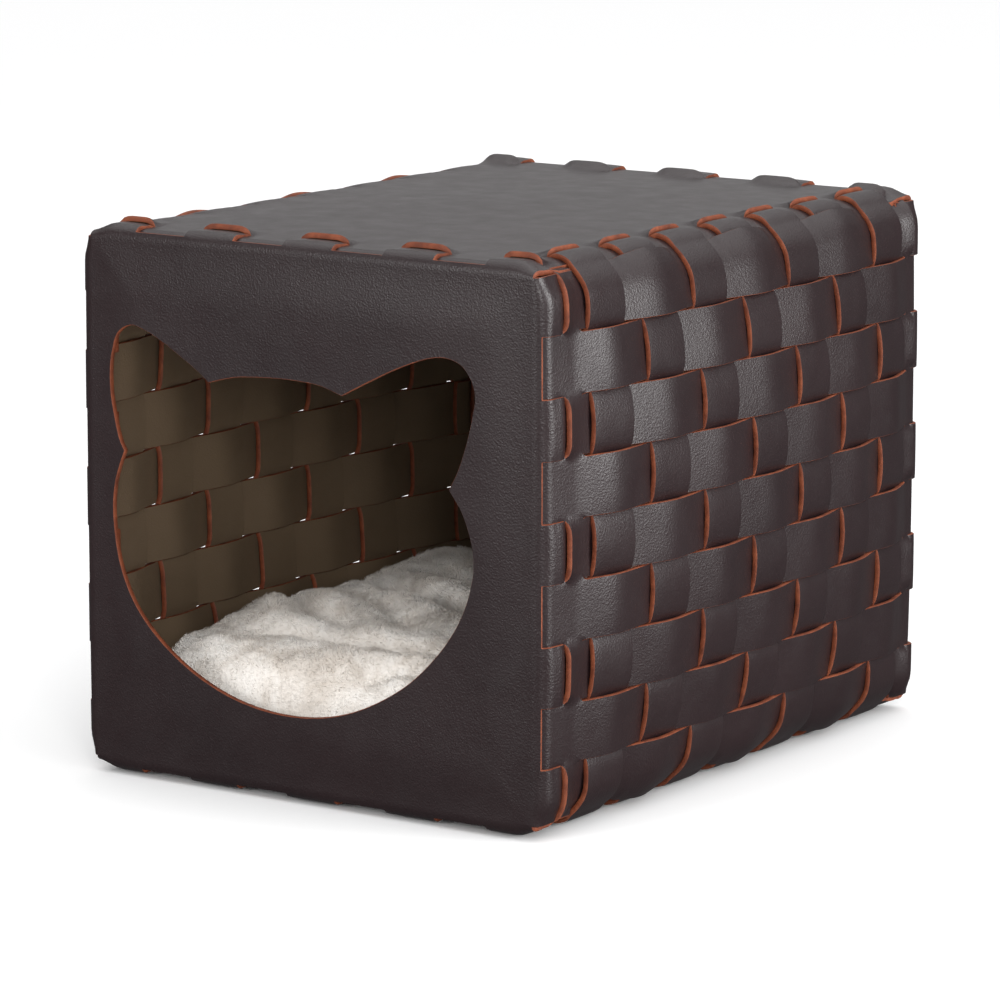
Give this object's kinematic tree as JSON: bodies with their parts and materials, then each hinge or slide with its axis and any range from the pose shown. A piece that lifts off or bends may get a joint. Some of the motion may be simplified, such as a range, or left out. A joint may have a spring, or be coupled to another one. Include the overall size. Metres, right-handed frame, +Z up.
{
  "type": "pet house",
  "caption": "Box-shaped pet house laced from thick two-tone leather, with woven side walls, a cat-head doorway and a loose faux-fur cushion.",
  "frame": {"origin": "on the floor, under the middle of the box that holds the whole house", "axes": "+Z up, -Y out of the doorway, +X to the right when looking in at the doorway"},
  "size_m": [0.3858, 0.45, 0.35],
  "materials": {
    "leather": "smooth finished cowhide, espresso brown with a fine pebble grain and a soft sheen; olive flesh side, rust cut edges",
    "fur": "short cream faux fur, soft and matte"
  },
  "bodies": {
    "house": {"front_panel": "leather", "back_panel": "leather", "top_panel": "leather", "bottom_panel": "leather", "right_wall": "leather", "left_wall": "leather", "right_strap_1": "leather", "right_strap_2": "leather", "right_strap_3": "leather", "right_strap_4": "leather", "right_strap_5": "leather", "right_strap_6": "leather", "right_strap_7": "leather", "left_strap_1": "leather", "left_strap_2": "leather", "left_strap_3": "leather", "left_strap_4": "leather", "left_strap_5": "leather", "left_strap_6": "leather", "left_strap_7": "leather"},
    "cushion_pad": {"cushion": "fur"}
  },
  "joints": [
    {"name": "cushion_lift", "type": "slide", "parent": "house", "child": "cushion_pad", "axis": [0, 0, 1], "range_m": [0, 0.12]}
  ]
}
